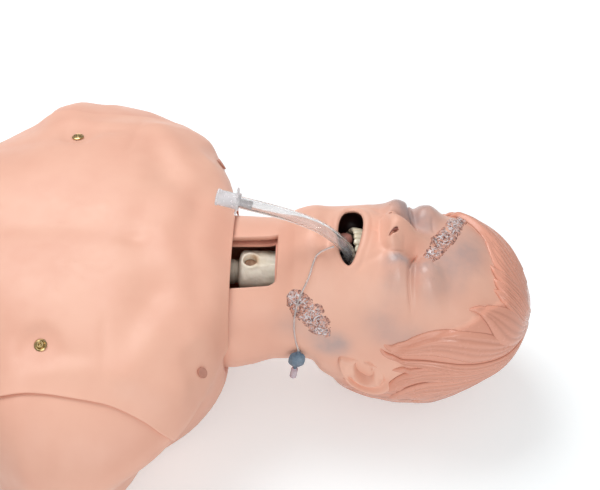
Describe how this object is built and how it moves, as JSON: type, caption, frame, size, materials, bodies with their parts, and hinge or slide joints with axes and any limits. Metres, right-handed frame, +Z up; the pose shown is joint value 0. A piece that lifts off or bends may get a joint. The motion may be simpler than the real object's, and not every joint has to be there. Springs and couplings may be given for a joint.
{
  "type": "airway management trainer",
  "caption": "Torso and head manikin for airway practice: tilting head, moving jaw, open throat window, breathing tube, lungs and stomach bags inside.",
  "frame": {"origin": "middle of the length and width, on the surface that the manikin lies on", "axes": "+X towards the crown, +Y towards the manikin's right, +Z up, out of the chest and face"},
  "size_m": [0.776, 0.4774, 0.2586],
  "materials": {
    "skin": "soft vinyl, satin",
    "vest": "soft vinyl, satin",
    "brass": "polished",
    "plug": "satin",
    "bone": "moulded",
    "teeth": "moulded",
    "tongue": "soft, satin",
    "airway": "soft, satin",
    "cream": "cast, matt",
    "membrane": "soft",
    "bag": "soft",
    "hose": "soft",
    "steel": "zinc plated",
    "board": "matt",
    "clear_tube": "clear, flexible",
    "clear_hard": "clear, rigid",
    "blue_clear": "clear, flexible",
    "valve": "clear, rigid"
  },
  "bodies": {
    "torso": {"torso_shell": "skin", "chest_skin": "vest", "press_studs": "brass", "shoulder_plugs": "plug", "neck_plate": "board", "neck_bracket": "steel", "neck_hinge_pin": "steel", "bracket_screws": "steel", "windpipe": "hose", "left_lung": "bag", "right_lung": "bag", "stomach_bag": "bag", "lung_tray": "board", "bronchial_fork": "hose", "gullet": "hose", "hose_clip": "steel"},
    "head": {"head_skin": "skin", "skull": "bone", "skull_base": "bone", "upper_teeth": "teeth", "upper_jaw": "bone", "jaw_pins": "steel", "throat": "airway", "larynx": "cream", "throat_membrane": "membrane", "neck_liner": "skin", "neck_post": "board", "larynx_cradle": "board", "breathing_tube": "clear_tube", "tube_cuff": "clear_tube", "tube_connector": "clear_hard", "inflation_line": "clear_tube", "pilot_balloon": "blue_clear", "balloon_valve": "valve"},
    "jaw": {"lower_jaw": "bone", "lower_teeth": "teeth", "tongue": "tongue"},
    "valve_plunger": {"valve_stem": "valve"}
  },
  "joints": [
    {"name": "head_tilt", "type": "hinge", "parent": "torso", "child": "head", "pos_m": [0.08, 0, 0.095], "axis": [0, -1, 0], "range_deg": [0, 20], "deforming": ["chest_skin", "windpipe", "gullet", "breathing_tube", "head_skin"]},
    {"name": "jaw_hinge", "type": "hinge", "parent": "head", "child": "jaw", "pos_m": [0.23191, 0, 0.12235], "axis": [0, -1, 0], "range_deg": [0, 10], "deforming": ["tongue", "throat"]},
    {"name": "valve_press", "type": "slide", "parent": "head", "child": "valve_plunger", "axis": [0.1537, 0.0922, 0.9838], "range_m": [0, 0.001], "stiffness_N_per_m": 400}
  ]
}
